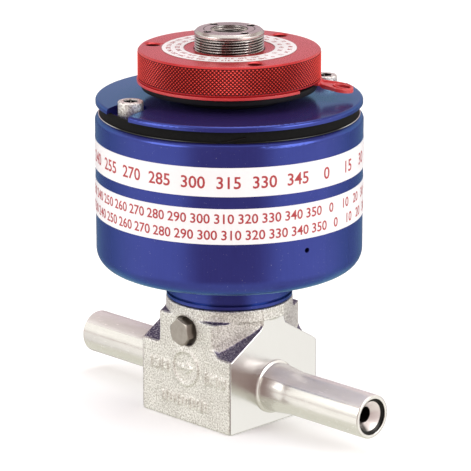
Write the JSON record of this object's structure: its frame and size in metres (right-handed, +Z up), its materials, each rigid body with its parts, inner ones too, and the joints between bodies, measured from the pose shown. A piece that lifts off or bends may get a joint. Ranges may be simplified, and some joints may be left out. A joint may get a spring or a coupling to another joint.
{
  "type": "high pressure gas valve",
  "caption": "Forged gas valve body with tube stubs, a blue anodised air actuator on top, and a red knurled ring for opening by hand.",
  "frame": {"origin": "middle of the valve body's underside, below the actuator's axis", "axes": "+Z up along the actuator's axis, +X along the flow axis towards the outlet stub, -Y out of the face with the lock screw"},
  "size_m": [0.1142, 0.0774, 0.1141],
  "materials": {
    "forged_stainless": "blasted forging with machined ends",
    "tube_stainless": "drawn and polished",
    "screw_steel": "plain hexagon screw",
    "rod_steel": "turned",
    "seat_plastic": "machined",
    "packing": "machined",
    "bronze": "turned",
    "blue_anodised": "anodised, glossy",
    "red_anodised": "anodised, satin, knurled",
    "plain_aluminium": "turned",
    "seal_rubber": "moulded",
    "plated_steel": "zinc plated",
    "spring_steel": "bright",
    "black_plastic": "satin",
    "red_plastic": "moulded",
    "label_film": "printed film"
  },
  "bodies": {
    "valve": {"valve_body": "forged_stainless", "inlet_stub": "tube_stainless", "outlet_stub": "tube_stainless", "lock_screw": "screw_steel", "neck_gasket": "seat_plastic", "packing_washer": "rod_steel", "stem_seals": "packing", "gland_bush": "bronze", "actuator_housing": "blue_anodised", "band_label_upper": "label_film", "band_label_lower": "label_film", "cover": "blue_anodised", "cover_seal": "seal_rubber", "rod_seals": "seal_rubber", "cover_screws": "plated_steel", "edge_seal": "seal_rubber", "retaining_wire": "spring_steel", "thrust_ring": "black_plastic", "disc_springs": "spring_steel"},
    "stem_group": {"stem": "rod_steel", "seat_disc": "seat_plastic", "piston": "plain_aluminium", "piston_seal": "seal_rubber", "piston_nut": "screw_steel", "piston_rod": "rod_steel", "port_bush": "rod_steel"},
    "override_ring": {"override_ring": "red_anodised", "ring_label": "label_film"},
    "lock_clip": {"lock_clip": "red_plastic"}
  },
  "joints": [
    {"name": "ring_turn", "type": "hinge", "parent": "valve", "child": "override_ring", "pos_m": [0, 0, 0.1045], "axis": [0, 0, 1], "range_deg": [-720, 0]},
    {"name": "stem_lift", "type": "slide", "parent": "valve", "child": "stem_group", "axis": [0, 0, 1], "range_m": [0, 0.002], "deforming": ["disc_springs"]},
    {"name": "clip_swivel", "type": "hinge", "parent": "valve", "child": "lock_clip", "pos_m": [0, 0, 0.0994], "axis": [0, 0, 1], "range_deg": [-120, 18]}
  ],
  "couplings": [
    {"joint": "ring_turn", "follows": "stem_lift", "rad_per_m": -6283.2}
  ]
}
